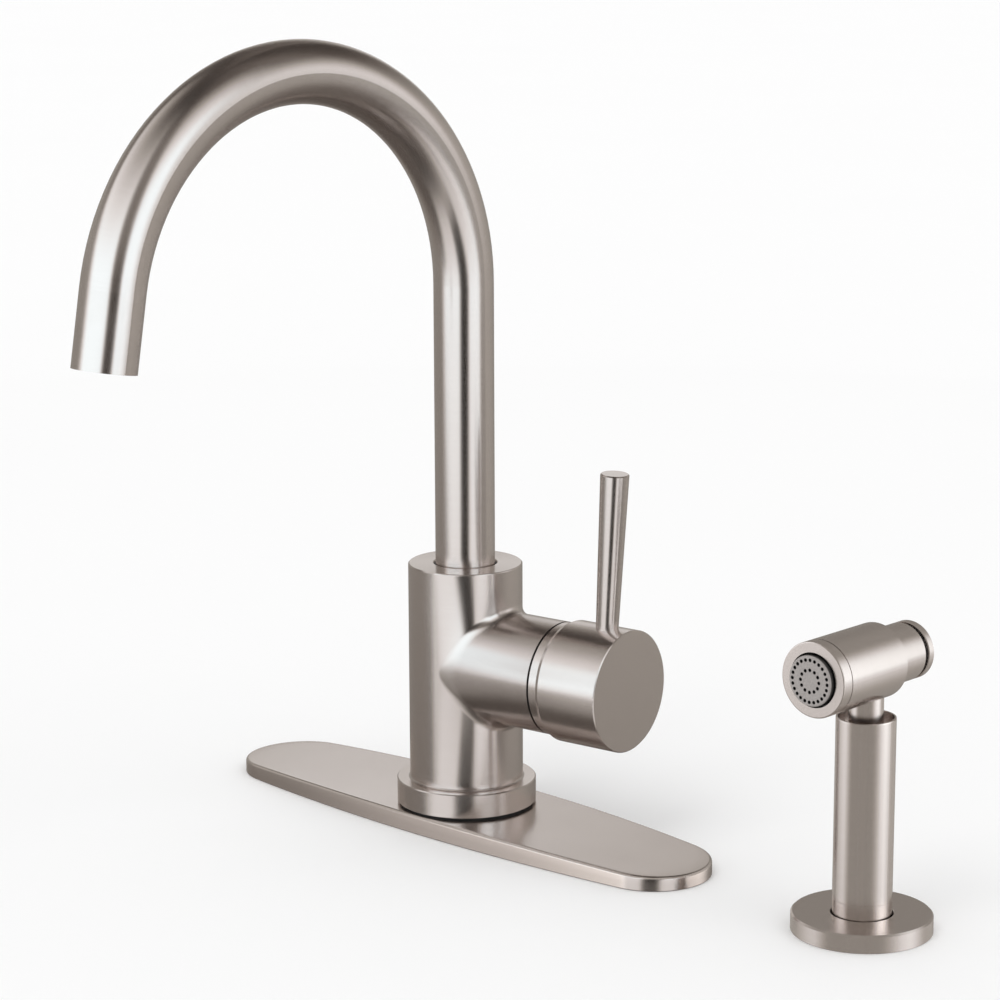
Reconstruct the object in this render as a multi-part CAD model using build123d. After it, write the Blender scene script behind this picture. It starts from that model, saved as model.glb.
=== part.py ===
from build123d import *
from math import cos, pi, radians, sin, sqrt
import os

# Side spray kitchen faucet: a gooseneck spout and a side lever on a long deck
# plate, with a separate hand sprayer standing in its own holder.
# Millimetres. X runs along the deck plate towards the handle, -Y faces the sink,
# +Z is up. The origin is on the faucet body's axis, on the deck.

# ---- driving dimensions ---------------------------------------------------------

# deck plate: a low crowned shell with a bowed oval outline
PLATE_LENGTH = 256.0
PLATE_WIDTH = 61.0
PLATE_END_RADIUS = 24.0
PLATE_HEIGHT = 8.0
PLATE_CROWN = 2.2  # the ends of the top are this much lower than its middle
PLATE_WALL = 2.4
PLATE_EDGE_ROUND = 4.4
PLATE_SEAT_Z = 7.9  # flat seat for the base ring's gasket

# faucet body and its side branch
BODY_RADIUS = 24.0
BODY_TOP = 112.3
BODY_YAW = 5.9  # degrees that the body is turned on its plate
BRANCH_RADIUS = 23.6
BRANCH_Z = 69.9
BRANCH_END = 49.4
BRANCH_BLEND = 6.0
SPIGOT_RADIUS = 16.5
SPIGOT_BOTTOM = -4.0
RING_RADIUS = 29.5
RING_BOTTOM = 8.9
RING_TOP = 19.2
RING_COLLAR_TOP = 19.8

# spout
SPOUT_RADIUS = 12.5
SPOUT_WALL = 1.5
SPOUT_YAW = -1.7  # degrees that the spout is swivelled from straight ahead
SPOUT_ARC_RADIUS = 91.4
SPOUT_ARC_ANGLE = 170.0
SPOUT_ARC_Z = 230.0
SPOUT_END_LENGTH = 29.9
SPOUT_FOOT_Z = 96.0
SOCKET_RADIUS = 13.2
SOCKET_BOTTOM = 81.5
SHANK_CLEARANCE = 0.06

# handle: the hub tilts about a pivot on the branch's axis
PIVOT_X = 48.1
HUB_RADIUS = 25.25
HUB_REAR = 54.6
HUB_FRONT = 84.1
HUB_CAVITY_RADIUS = 24.0
HUB_CAVITY_END = 67.5
DOME_RADIUS = 24.6  # round face of the trim cap, centred on the pivot
LEVER_AXIS_X = 71.6  # where the lever's axis meets the hub's
LEVER_LEAN = 3.1
LEVER_BASE_RADIUS = 4.65
LEVER_TOP_RADIUS = 5.9
LEVER_TOP = 89.6  # along the lever, from the hub's axis

# cartridge, measured along the branch from the body's axis
CARTRIDGE_SEAT = 18.0
CARTRIDGE_RADIUS = 17.5
CARTRIDGE_END = 43.5
DISC_FACE = 27.4  # where the moving disc meets the fixed one
STEM_BALL_X = 34.0
STEM_SIZE = 8.0
NUT_END = 54.0
NUT_FLATS = 32.0
FIT = 0.06  # radial clearance of a running fit

# connections under the body: hot, cold and spray, M10 x 1
PORT_RADIUS = 4.6
PORT_DEPTH = 9.0
CHANNEL_RADIUS = 3.0
INLET_X = 8.5
INLET_Y = 7.0
INLET_DROP = 5.5  # the inlets enter the cartridge this far below its axis
OUTLET_RISE = 7.0  # and the outlet leaves it this far above
SPRAY_PORT_X = -10.5

# diverter below the spout: a plunger that closes the spout when the sprayer opens
DIVERTER_RADIUS = 6.45
DIVERTER_BORE = 4.6
DIVERTER_FOOT = 56.0
DIVERTER_STOP = 72.0  # underside of the shoulder that the plunger is sprung against
DIVERTER_TRAVEL = 3.0

# clamp under the deck, drawn for a worktop of DECK_THICKNESS
DECK_THICKNESS = 30.0
STUD_X = -2.0
STUD_Y = 12.0
STUD_RADIUS = 3.0
STUD_BOTTOM = -62.0
WASHER_RADIUS = 27.0

# sprayer and its holder
SPRAY_X = 205.7
SPRAY_Y = 3.8
FLANGE_RADIUS = 27.3
FLANGE_HEIGHT = 7.0
HOLDER_RADIUS = 15.0
HOLDER_BOTTOM = -45.0
LINER_RADIUS = 13.0
GRIP_RADIUS = 11.5
GRIP_BOTTOM = -28.0
GRIP_SEAM_Z = 13.0
GRIP_TOP = 84.6
GRIP_BORE = 9.5
CUP_RADIUS = 10.7  # open cup in the top of the grip, round the neck
CUP_DEPTH = 5.0
NIPPLE_RADIUS = 8.0  # threaded end of the hose connector
NECK_RADIUS = 6.6
NECK_SPIGOT_RADIUS = 5.5  # where the neck screws into the head
HEAD_Z = 105.5
HEAD_RADIUS = 14.5
HEAD_FACE = 33.5  # front face of the head, ahead of the grip's axis
HEAD_SEAM = 28.6
SEAM_WIDTH = 0.3  # open groove between the head and its face ring
SEAM_DEPTH = 0.5
FACE_BORE = 12.5
FACE_OPENING = 10.3
DISC_RADIUS = 9.7
DISC_PROUD = 2.0  # the spray disc stands this far out of the face ring
HEAD_SHOULDER = -5.6
HEAD_REAR = -22.0
HEAD_REAR_RADIUS = 11.3
BUTTON_GAP = 2.0  # open groove between head and button, and the button's travel
BUTTON_END = -28.0
BOSS_RADIUS = 9.5
POCKET_END = -12.0
STEM_RADIUS = 3.0
VALVE_SEAT = 10.0
WASHER_SEAT = 22.0
SPRAY_HOLES = ((24, 8.0), (12, 4.2))  # count and radius of each circle of holes
SPRAY_HOLE_RADIUS = 0.5

UP = (Align.CENTER, Align.CENTER, Align.MIN)


# ---- helpers --------------------------------------------------------------------

def disc(radius, low, high):
    """Cylinder about Z from low to high."""
    return Pos(0, 0, low) * Cylinder(radius, high - low, align=UP)


def ring(outer, inner, low, high):
    """Tube about Z from low to high."""
    return disc(outer, low, high) - disc(inner, low - 1, high + 1)


def turned(points):
    """Solid of revolution about Z, from its (radius, height) outline."""
    profile = make_face(Polyline(*[(r, 0, z) for r, z in points], close=True))
    return revolve(profile, Axis.Z)


def block(x_low, x_high, y_half, low, high):
    """Box from x_low to x_high, symmetric about Y."""
    x_mid = (x_low + x_high) / 2
    return Pos(x_mid, 0, low) * Box(x_high - x_low, 2 * y_half, high - low, align=UP)


def hexagon(flats, hole, low, high):
    """Nut blank about Z."""
    blank = extrude(RegularPolygon(flats / 2, 6, major_radius=False), high - low)
    return Pos(0, 0, low) * blank - disc(hole, low - 1, high + 1)


def coil(radius, wire_radius, low, high, turns):
    """Compression spring about Z, between low and high; its wire has six flats."""
    span = high - low - 2 * wire_radius
    path = Pos(0, 0, low + wire_radius) * Helix(span / turns, span, radius)
    start = Plane(origin=path @ 0, z_dir=path % 0)
    return sweep(start * RegularPolygon(wire_radius, 6), path=path, is_frenet=True)


def seal_ring(radius, thickness):
    """O-ring about the origin, with an eight-sided section."""
    half = thickness / 2
    corner = half * (sqrt(2) - 1)
    steps = [(half, -corner), (half, corner), (corner, half), (-corner, half)]
    steps += [(-half, corner), (-half, -corner), (-corner, -half), (corner, -half)]
    return turned([(radius + dr, dz) for dr, dz in steps])


def on_body(shape):
    """Turn a piece of the body about Z, as the body stands on its plate."""
    return Rot(0, 0, BODY_YAW) * shape


def on_branch(shape):
    """Lay a piece built along Z on the branch's axis; its -X then points up."""
    return on_body(Pos(0, 0, BRANCH_Z) * Rot(0, 90, 0) * shape)


def on_spout(shape):
    """Turn a piece of the spout to where the spout points at rest."""
    return Rot(0, 0, SPOUT_YAW) * shape


def at_sprayer(shape):
    """Place a piece built on the Z axis on the sprayer's axis."""
    return Pos(SPRAY_X, SPRAY_Y, 0) * shape


def on_head(shape):
    """Lay a piece built along Z on the spray head's axis, +Z to the front."""
    return at_sprayer(Pos(0, 0, HEAD_Z) * Rot(90, 0, 0) * shape)


# ---- deck plate -----------------------------------------------------------------

def oval(inset):
    """Plate outline of four tangent arcs, moved in by inset."""
    half = PLATE_LENGTH / 2
    wide = PLATE_WIDTH / 2
    end = PLATE_END_RADIUS
    reach = half - end
    bow = (reach ** 2 / (wide - end) + end + wide) / 2
    tangent_x = reach * (bow - inset) / (bow - end)
    tangent_y = wide - bow + (bow - inset) * (bow - wide) / (bow - end)
    sides = []
    for s in (1, -1):
        corner_a = (-s * tangent_x, s * tangent_y)
        corner_b = (s * tangent_x, s * tangent_y)
        sides.append(ThreePointArc(corner_a, (0, s * (wide - inset)), corner_b))
        tip = (s * (half - inset), 0)
        sides.append(ThreePointArc(corner_b, tip, (s * tangent_x, -s * tangent_y)))
    return make_face(sides)


def under_crown(top):
    """Everything under the plate's arched top, whose middle is at top."""
    half = PLATE_LENGTH
    drop = PLATE_CROWN * (2 * half / PLATE_LENGTH) ** 2
    with BuildSketch(Plane.XZ) as profile:
        with BuildLine():
            Polyline((-half, top - drop), (-half, -20), (half, -20), (half, top - drop))
            ThreePointArc((-half, top - drop), (0, top), (half, top - drop))
        make_face()
    return extrude(profile.sketch, PLATE_WIDTH, both=True)


def deck_plate():
    shell = extrude(oval(0), PLATE_HEIGHT + 1) & under_crown(PLATE_HEIGHT)
    top_edges = shell.faces().sort_by(Axis.Z)[-1].edges()
    shell = fillet(top_edges, PLATE_EDGE_ROUND)
    pocket = extrude(oval(PLATE_WALL), PLATE_HEIGHT) & under_crown(PLATE_HEIGHT - PLATE_WALL)
    boss = disc(SPIGOT_RADIUS + 5, PLATE_WALL + 0.1, PLATE_HEIGHT - PLATE_WALL + 0.1)
    seat = disc(RING_RADIUS - 1.1, PLATE_SEAT_Z, PLATE_HEIGHT + 1)
    return shell - pocket + boss - seat - disc(SPIGOT_RADIUS + 0.4, -1, PLATE_HEIGHT + 1)


def plate_gasket():
    return extrude(oval(PLATE_WALL), PLATE_WALL + 0.1) - disc(SPIGOT_RADIUS + 1, -1, 4)


# ---- body -----------------------------------------------------------------------

def base_ring():
    bore = SPIGOT_RADIUS + 0.1
    return turned([
        (bore, RING_BOTTOM), (RING_RADIUS - 0.3, RING_BOTTOM), (RING_RADIUS, RING_BOTTOM + 0.3),
        (RING_RADIUS, RING_TOP - 0.4), (RING_RADIUS - 0.4, RING_TOP), (BODY_RADIUS + 0.6, RING_TOP),
        (BODY_RADIUS, RING_TOP + 0.3), (BODY_RADIUS - 0.3, RING_COLLAR_TOP), (bore, RING_COLLAR_TOP),
    ])


def body_blank():
    """The casting before its bores are cut."""
    column = turned([
        (0, RING_COLLAR_TOP), (BODY_RADIUS - 0.3, RING_COLLAR_TOP), (BODY_RADIUS, RING_COLLAR_TOP + 0.3),
        (BODY_RADIUS, BODY_TOP - 0.5), (BODY_RADIUS - 0.5, BODY_TOP), (0, BODY_TOP),
    ])
    branch = Pos(0, 0, BRANCH_Z) * Rot(0, 90, 0) * disc(BRANCH_RADIUS, 0, BRANCH_END)
    crotch = (column + branch).edges().filter_by(GeomType.BSPLINE)
    blank = fillet(crotch, BRANCH_BLEND)
    return blank + disc(SPIGOT_RADIUS, SPIGOT_BOTTOM, RING_COLLAR_TOP)


def port(x, y, top):
    """Threaded socket in the body's foot and the channel above it."""
    socket = disc(PORT_RADIUS, SPIGOT_BOTTOM - 1, SPIGOT_BOTTOM + PORT_DEPTH)
    return Pos(x, y, 0) * (socket + disc(CHANNEL_RADIUS, 0, top))


def faucet_body():
    body = body_blank()
    body -= disc(SOCKET_RADIUS, SOCKET_BOTTOM, BODY_TOP + 1)
    body -= Pos(0, 0, BODY_TOP - 0.4) * Cone(SOCKET_RADIUS, SOCKET_RADIUS + 0.5, 0.5, align=UP)
    body -= disc(DIVERTER_RADIUS + 0.05, DIVERTER_FOOT - 4, SOCKET_BOTTOM + 1)
    inlet_z = BRANCH_Z - INLET_DROP
    for side in (1, -1):
        body -= port(INLET_X, side * INLET_Y, inlet_z + CHANNEL_RADIUS)
        cross_channel = Rot(0, 90, 0) * disc(CHANNEL_RADIUS, INLET_X, CARTRIDGE_SEAT + 1)
        body -= Pos(0, side * INLET_Y, inlet_z) * cross_channel
        body -= Pos(STUD_X, side * STUD_Y, 0) * disc(STUD_RADIUS, SPIGOT_BOTTOM - 1, 8)
    body -= port(SPRAY_PORT_X, 0, DIVERTER_FOOT + 0.5)
    spray_channel = Rot(0, -90, 0) * disc(2.4, 0, -SPRAY_PORT_X)
    body -= Pos(0, 0, DIVERTER_FOOT - 2) * spray_channel
    outlet = Rot(0, 90, 0) * disc(CHANNEL_RADIUS, 0, CARTRIDGE_SEAT + 1)
    body -= Pos(0, 0, BRANCH_Z + OUTLET_RISE) * outlet
    pocket = disc(CARTRIDGE_RADIUS + 0.05, CARTRIDGE_SEAT, BRANCH_END + 1)
    pocket += disc(19.45, CARTRIDGE_END, BRANCH_END + 1)
    body -= Pos(0, 0, BRANCH_Z) * Rot(0, 90, 0) * pocket
    body -= Pos(0, 0, SPOUT_FOOT_Z - 7) * Rot(-90, 0, 0) * disc(2, SOCKET_RADIUS - 1, BODY_RADIUS + 1)
    return on_body(body)


def spout_set_screw():
    z = SPOUT_FOOT_Z - 7
    return on_body(Pos(0, 0, z) * Rot(-90, 0, 0) * (disc(1.2, 12.3, 13.5) + disc(2, 13.5, 23)))


def mounting_studs():
    stud = disc(STUD_RADIUS, STUD_BOTTOM, 8)
    return on_body(Compound([Pos(STUD_X, s * STUD_Y, 0) * stud for s in (1, -1)]))


def horseshoe(low, high):
    """Clamp washer with a lug for each stud; the middle stays open for the hoses."""
    washer = ring(WASHER_RADIUS, SPIGOT_RADIUS + 1, low, high)
    for side in (1, -1):
        lug = disc(5, low, high) + Pos(0, side * 4, low) * Box(10, 8, high - low, align=UP)
        washer += Pos(STUD_X, side * STUD_Y, 0) * lug
        washer -= Pos(STUD_X, side * STUD_Y, 0) * disc(STUD_RADIUS + 0.2, low - 1, high + 1)
    washer -= Pos(WASHER_RADIUS, 0, low - 1) * Box(2 * WASHER_RADIUS, 16, high - low + 2, align=UP)
    return on_body(washer)


def mounting_nuts():
    top = -DECK_THICKNESS - 5
    nut = hexagon(10, STUD_RADIUS, top - 5, top)
    return on_body(Compound([Pos(STUD_X, s * STUD_Y, 0) * nut for s in (1, -1)]))


# ---- diverter -------------------------------------------------------------------

def diverter_sleeve():
    """Open at the foot; the cartridge's water enters at the side, above the shoulder."""
    sleeve = ring(DIVERTER_RADIUS, DIVERTER_BORE, DIVERTER_FOOT + 2, SOCKET_BOTTOM)
    sleeve += ring(DIVERTER_BORE + 0.5, DIVERTER_BORE - 0.6, DIVERTER_STOP, DIVERTER_STOP + 1.2)
    sleeve += ring(DIVERTER_BORE + 0.5, 2.6, SOCKET_BOTTOM - 1.5, SOCKET_BOTTOM)
    window = Pos(0, 0, BRANCH_Z + OUTLET_RISE) * Rot(0, 90, 0) * Cylinder(2.2, 3 * DIVERTER_RADIUS)
    return on_body(sleeve - window)


def diverter_foot():
    return on_body(ring(DIVERTER_RADIUS, 3.0, DIVERTER_FOOT, DIVERTER_FOOT + 2))


def diverter_piston():
    piston = disc(DIVERTER_BORE - FIT, DIVERTER_STOP - 2.02, DIVERTER_STOP - 0.02)
    return on_body(piston + disc(1.5, DIVERTER_STOP - 1, SOCKET_BOTTOM + DIVERTER_TRAVEL + 2))


def diverter_poppet():
    low = SOCKET_BOTTOM + DIVERTER_TRAVEL + 0.1
    return on_body(turned([(1.5, low), (4.0, low), (4.3, low + 0.4), (3.2, low + 1.8), (1.5, low + 1.8)]))


def diverter_spring():
    return on_body(coil(3.6, 0.45, DIVERTER_FOOT + 2, DIVERTER_STOP - 2.02, 5))


# ---- spout ----------------------------------------------------------------------

def spout_path():
    """Centre line of the tube: up, over and down to the outlet."""
    side = Plane(origin=(0, 0, 0), x_dir=(0, -1, 0), z_dir=(-1, 0, 0))
    end_angle = radians(180 - SPOUT_ARC_ANGLE)
    arc_end = (SPOUT_ARC_RADIUS * (1 + cos(end_angle)), SPOUT_ARC_Z + SPOUT_ARC_RADIUS * sin(end_angle))
    outlet = (arc_end[0] + SPOUT_END_LENGTH * sin(end_angle), arc_end[1] - SPOUT_END_LENGTH * cos(end_angle))
    rise = Line((0, SPOUT_FOOT_Z), (0, SPOUT_ARC_Z))
    arc = CenterArc((SPOUT_ARC_RADIUS, SPOUT_ARC_Z), SPOUT_ARC_RADIUS, 180, -SPOUT_ARC_ANGLE)
    fall = Line(arc_end, outlet)
    return side * Wire([rise, arc, fall])


def spout_tube():
    path = spout_path()
    section = Circle(SPOUT_RADIUS) - Circle(SPOUT_RADIUS - SPOUT_WALL)
    return on_spout(sweep(Pos(0, 0, SPOUT_FOOT_Z) * section, path=path))


def spout_shank():
    outer = SOCKET_RADIUS - SHANK_CLEARANCE
    blank = turned([
        (8.5, 82), (outer, 82), (outer, SPOUT_FOOT_Z), (SPOUT_RADIUS - SPOUT_WALL, SPOUT_FOOT_Z),
        (SPOUT_RADIUS - SPOUT_WALL, SPOUT_FOOT_Z + 10), (8.5, SPOUT_FOOT_Z + 10),
    ])
    for z in (85, 93):
        blank -= ring(outer + 1, 11.25, z - 1.2, z + 1.2)
    return on_spout(blank - ring(outer + 1, 11.9, 87.6, 90.4))


def spout_o_rings():
    seal = seal_ring(12.2, 1.9)
    return on_spout(Compound([Pos(0, 0, z) * seal for z in (85, 93)]))


def spout_bushing():
    return on_body(ring(SOCKET_RADIUS, SPOUT_RADIUS + FIT, 107, BODY_TOP - 0.7))


def on_outlet(shape):
    """Place a piece built along Z in the spout's end, +Z out of the outlet."""
    path = spout_path()
    return on_spout(Plane(origin=path @ 1, z_dir=path % 1).location * shape)


def aerator_housing():
    bore = SPOUT_RADIUS - SPOUT_WALL
    return on_outlet(turned([
        (8.6, -12), (bore, -12), (bore, -0.8), (9.6, -0.8), (9.6, -1.6), (8.6, -1.6),
    ]))


def aerator_insert():
    insert = disc(8.6, -11, -2)
    cell = Box(1.9, 1.9, 8, align=UP)
    holes = [Pos(x, y, -8) * cell for x, y in grid_cells(2.6, 7.0)]
    return on_outlet(insert - holes)


def grid_cells(pitch, reach):
    """Centres of the square grid's cells that lie within reach of its middle."""
    count = int(reach // pitch)
    steps = [pitch * i for i in range(-count, count + 1)]
    return [(x, y) for x in steps for y in steps if x * x + y * y < reach * reach]


def aerator_washer():
    return on_outlet(ring(SPOUT_RADIUS - SPOUT_WALL, 7.5, -14, -12))


# ---- cartridge ------------------------------------------------------------------

def port_places():
    """Cartridge ports in the branch's own plane: two inlets and the outlet."""
    return [(INLET_DROP, INLET_Y), (INLET_DROP, -INLET_Y), (-OUTLET_RISE, 0)]


def cartridge_base():
    base = disc(CARTRIDGE_RADIUS, CARTRIDGE_SEAT + 0.4, 24)
    for x, y in port_places():
        base -= Pos(x, y, 0) * (disc(CHANNEL_RADIUS, 0, 30) + disc(4.4, 0, CARTRIDGE_SEAT + 1.2))
    return on_branch(base)


def cartridge_seals():
    seal = ring(4.4, CHANNEL_RADIUS, CARTRIDGE_SEAT, CARTRIDGE_SEAT + 1.2)
    return on_branch(Compound([Pos(x, y, 0) * seal for x, y in port_places()]))


def cartridge_housing():
    shell = ring(CARTRIDGE_RADIUS, 14, 24, 36)
    return on_branch(shell + ring(CARTRIDGE_RADIUS, 12.2 + FIT, 36, CARTRIDGE_END))


def fixed_disc():
    plate = disc(13.9, 24, DISC_FACE)
    for x, y in port_places():
        plate -= Pos(x, y, 0) * disc(2.6, 20, 30)
    return on_branch(plate)


def moving_disc():
    plate = disc(9, DISC_FACE + 0.05, 30.5)
    return on_branch(plate - disc(5.5, DISC_FACE, 29))


def disc_carrier():
    half = 3.0 + 2 * FIT
    carrier = disc(9, 30.5, 34.4) + block(-5, 5, 5, 34.4, 37)
    return on_branch(carrier - block(-half, half, half, 30.9, 38))


def cartridge_rotor():
    rotor = disc(13.6, 34.7, 35.9) + disc(12.2, 35.9, 45) + disc(11, 45, 51.5)
    rotor -= block(-10.2, 10.2, 5 + FIT, 34, 37.4)
    rotor -= block(-8.6, 6.4, STEM_SIZE / 2 + FIT, 37, 52)
    return on_branch(rotor - pin_hole(1.5))


def pin_hole(radius):
    """Cross hole for the stem's pin, on the pivot."""
    return Pos(0, 0, PIVOT_X) * Rot(90, 0, 0) * Cylinder(radius, 19)


def stem_pin():
    return on_branch(pin_hole(1.5))


def cartridge_stem():
    half = STEM_SIZE / 2
    stem = Pos(0, 0, STEM_BALL_X) * Sphere(3) + disc(2, STEM_BALL_X, 40)
    stem += block(-half, half, half, 39.4, 80)
    return on_branch(stem - pin_hole(1.5 + FIT))


def cartridge_nut():
    nut = ring(19.4, 13.2, CARTRIDGE_END, BRANCH_END)
    return on_branch(nut + hexagon(NUT_FLATS, 13.2, BRANCH_END, NUT_END))


def cap_gasket():
    return on_branch(ring(22.6, nut_corner(), BRANCH_END, BRANCH_END + 0.8))


def nut_corner():
    """Radius over the corners of the cartridge nut."""
    return NUT_FLATS / 2 / cos(pi / 6)


def trim_cap():
    rear = BRANCH_END + 0.8
    front = PIVOT_X + 11
    shoulder = PIVOT_X + sqrt(DOME_RADIUS ** 2 - BRANCH_RADIUS ** 2)
    rim = sqrt(DOME_RADIUS ** 2 - 11 ** 2)
    middle_angle = radians(68)
    middle = (DOME_RADIUS * sin(middle_angle), 0, PIVOT_X + DOME_RADIUS * cos(middle_angle))
    dome = ThreePointArc((BRANCH_RADIUS, 0, shoulder), middle, (rim, 0, front))
    rest = Polyline(
        (rim, 0, front), (12.5, 0, front), (12.5, 0, front - 2.3), (nut_corner(), 0, front - 2.3),
        (nut_corner(), 0, rear), (BRANCH_RADIUS - 0.2, 0, rear), (BRANCH_RADIUS, 0, rear + 0.2),
        (BRANCH_RADIUS, 0, shoulder),
    )
    return on_branch(revolve(make_face([dome, *rest.edges()]), Axis.Z))


# ---- handle ---------------------------------------------------------------------

def on_lever(shape):
    """Place a piece built along Z on the lever's axis, still in the branch's frame."""
    return Pos(0, 0, LEVER_AXIS_X) * Rot(0, -90 + LEVER_LEAN, 0) * shape


def handle_hub():
    hub = turned([
        (HUB_CAVITY_RADIUS, HUB_REAR), (HUB_RADIUS - 0.7, HUB_REAR), (HUB_RADIUS, HUB_REAR + 1.6),
        (HUB_RADIUS, HUB_FRONT - 0.4), (HUB_RADIUS - 0.4, HUB_FRONT), (0, HUB_FRONT),
        (0, HUB_CAVITY_END), (HUB_CAVITY_RADIUS, HUB_CAVITY_END),
    ])
    half = STEM_SIZE / 2
    hub -= block(-half, half, half, HUB_CAVITY_END - 1, 80)
    hub -= on_lever(disc(3, 11, 40))
    return on_branch(hub - Pos(0, 0, 76) * Rot(0, 90, 0) * disc(2, half, 30))


def handle_lever():
    flare = (LEVER_TOP_RADIUS - LEVER_BASE_RADIUS) / (LEVER_TOP - HUB_RADIUS)
    low = HUB_RADIUS - 2
    low_radius = LEVER_BASE_RADIUS - 2 * flare
    rod = turned([
        (0, low), (low_radius, low), (LEVER_TOP_RADIUS, LEVER_TOP - 0.5),
        (LEVER_TOP_RADIUS - 0.5, LEVER_TOP), (0, LEVER_TOP),
    ])
    lever = on_lever(rod) - disc(HUB_RADIUS, 50, 90)
    return on_branch(lever + on_lever(disc(3, 11, HUB_RADIUS + 2)))


def hub_set_screw():
    return on_branch(Pos(0, 0, 76) * Rot(0, 90, 0) * disc(2, STEM_SIZE / 2, 12))


# ---- spray holder ---------------------------------------------------------------

def spray_holder():
    return at_sprayer(turned([
        (12.1, FLANGE_HEIGHT - 0.2), (12.3, FLANGE_HEIGHT), (FLANGE_RADIUS - 0.7, FLANGE_HEIGHT),
        (FLANGE_RADIUS, FLANGE_HEIGHT - 0.7), (FLANGE_RADIUS, 0), (24, 0), (24, 1.5),
        (HOLDER_RADIUS, 1.5), (HOLDER_RADIUS, HOLDER_BOTTOM), (LINER_RADIUS, HOLDER_BOTTOM),
        (LINER_RADIUS, FLANGE_HEIGHT - 2.5), (12.1, FLANGE_HEIGHT - 2.5),
    ]))


def holder_liner():
    liner = ring(LINER_RADIUS, GRIP_RADIUS + FIT, GRIP_BOTTOM - 0.05, FLANGE_HEIGHT - 2.5)
    return at_sprayer(liner + ring(LINER_RADIUS, 9, GRIP_BOTTOM - 4, GRIP_BOTTOM - 0.05))


def holder_gasket():
    return at_sprayer(ring(24, HOLDER_RADIUS, 0, 1.5))


def holder_washer():
    return at_sprayer(ring(24, HOLDER_RADIUS, -DECK_THICKNESS - 3, -DECK_THICKNESS))


def holder_nut():
    top = -DECK_THICKNESS - 3
    return at_sprayer(hexagon(36, HOLDER_RADIUS, top - 7, top) + ring(22, HOLDER_RADIUS, top - 1.5, top))


# ---- sprayer --------------------------------------------------------------------

def grip_collar():
    return at_sprayer(turned([
        (NIPPLE_RADIUS, GRIP_BOTTOM), (GRIP_RADIUS - 0.5, GRIP_BOTTOM), (GRIP_RADIUS, GRIP_BOTTOM + 0.5),
        (GRIP_RADIUS, GRIP_SEAM_Z - 0.2), (GRIP_RADIUS - 0.2, GRIP_SEAM_Z),
        (GRIP_BORE, GRIP_SEAM_Z), (GRIP_BORE, GRIP_BOTTOM + 14), (NIPPLE_RADIUS, GRIP_BOTTOM + 14),
    ]))


def hose_connector():
    foot = GRIP_BOTTOM - 10
    nipple = ring(NIPPLE_RADIUS, PORT_RADIUS, foot + 5, foot + 12)
    nipple += ring(NIPPLE_RADIUS, 3.5, foot + 12, GRIP_BOTTOM + 14)
    return at_sprayer(nipple + hexagon(14, PORT_RADIUS, foot, foot + 5))


def spray_grip():
    return at_sprayer(turned([
        (GRIP_BORE, GRIP_SEAM_Z), (GRIP_RADIUS - 0.2, GRIP_SEAM_Z), (GRIP_RADIUS, GRIP_SEAM_Z + 0.2),
        (GRIP_RADIUS, GRIP_TOP - 0.4), (GRIP_RADIUS - 0.1, GRIP_TOP - 0.1), (GRIP_RADIUS - 0.4, GRIP_TOP),
        (CUP_RADIUS, GRIP_TOP - 0.1), (CUP_RADIUS, GRIP_TOP - CUP_DEPTH), (GRIP_BORE, GRIP_TOP - CUP_DEPTH),
    ]))


def spray_neck():
    floor = GRIP_TOP - CUP_DEPTH
    neck = turned([
        (3.5, floor - 6), (GRIP_BORE, floor - 6), (GRIP_BORE, floor), (NECK_RADIUS + 0.8, floor),
        (NECK_RADIUS, floor + 0.8), (NECK_RADIUS, HEAD_Z - 9), (3.5, HEAD_Z - 9),
    ])
    neck -= Pos(0, 0, HEAD_Z) * Rot(90, 0, 0) * Cylinder(HEAD_RADIUS, 60)
    spigot = ring(NECK_SPIGOT_RADIUS, 3.5, HEAD_Z - HEAD_RADIUS - 1, HEAD_Z - 9)
    return at_sprayer(neck + spigot)


def spray_head():
    """Shell with the valve's chamber over the neck and the button's pocket at the rear."""
    bevel_end = HEAD_SHOULDER - 3.4
    head = turned([
        (0, HEAD_REAR), (HEAD_REAR_RADIUS - 0.3, HEAD_REAR), (HEAD_REAR_RADIUS, HEAD_REAR + 0.3),
        (HEAD_REAR_RADIUS, bevel_end), (HEAD_RADIUS, HEAD_SHOULDER), (HEAD_RADIUS, HEAD_SEAM - SEAM_WIDTH),
        (HEAD_RADIUS - SEAM_DEPTH, HEAD_SEAM - SEAM_WIDTH), (HEAD_RADIUS - SEAM_DEPTH, HEAD_SEAM),
        (0, HEAD_SEAM),
    ])
    head -= disc(BOSS_RADIUS + FIT, HEAD_REAR - 1, POCKET_END)
    head -= disc(STEM_RADIUS + FIT, POCKET_END - 1, 0)
    head -= disc(6.5, -8, 7)
    head -= disc(4, 6, VALVE_SEAT + 1)
    head -= disc(9, VALVE_SEAT, WASHER_SEAT + 1)
    head -= disc(FACE_BORE, WASHER_SEAT, HEAD_SEAM + 1)
    neck_hole = Pos(0, -HEAD_RADIUS - 2, 0) * Rot(-90, 0, 0) * disc(NECK_SPIGOT_RADIUS, 0, HEAD_RADIUS)
    return on_head(head - neck_hole)


def face_ring():
    skirt = WASHER_SEAT + 0.4
    return on_head(turned([
        (FACE_BORE, skirt), (FACE_BORE, HEAD_SEAM), (HEAD_RADIUS - 0.1, HEAD_SEAM),
        (HEAD_RADIUS, HEAD_SEAM + 0.1), (HEAD_RADIUS, HEAD_FACE - 0.5), (HEAD_RADIUS - 0.15, HEAD_FACE - 0.15),
        (HEAD_RADIUS - 0.5, HEAD_FACE), (FACE_OPENING + 0.2, HEAD_FACE), (FACE_OPENING, HEAD_FACE - 0.2),
        (FACE_OPENING, HEAD_FACE - 2), (11.0, HEAD_FACE - 2), (11.0, skirt),
    ]))


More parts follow.
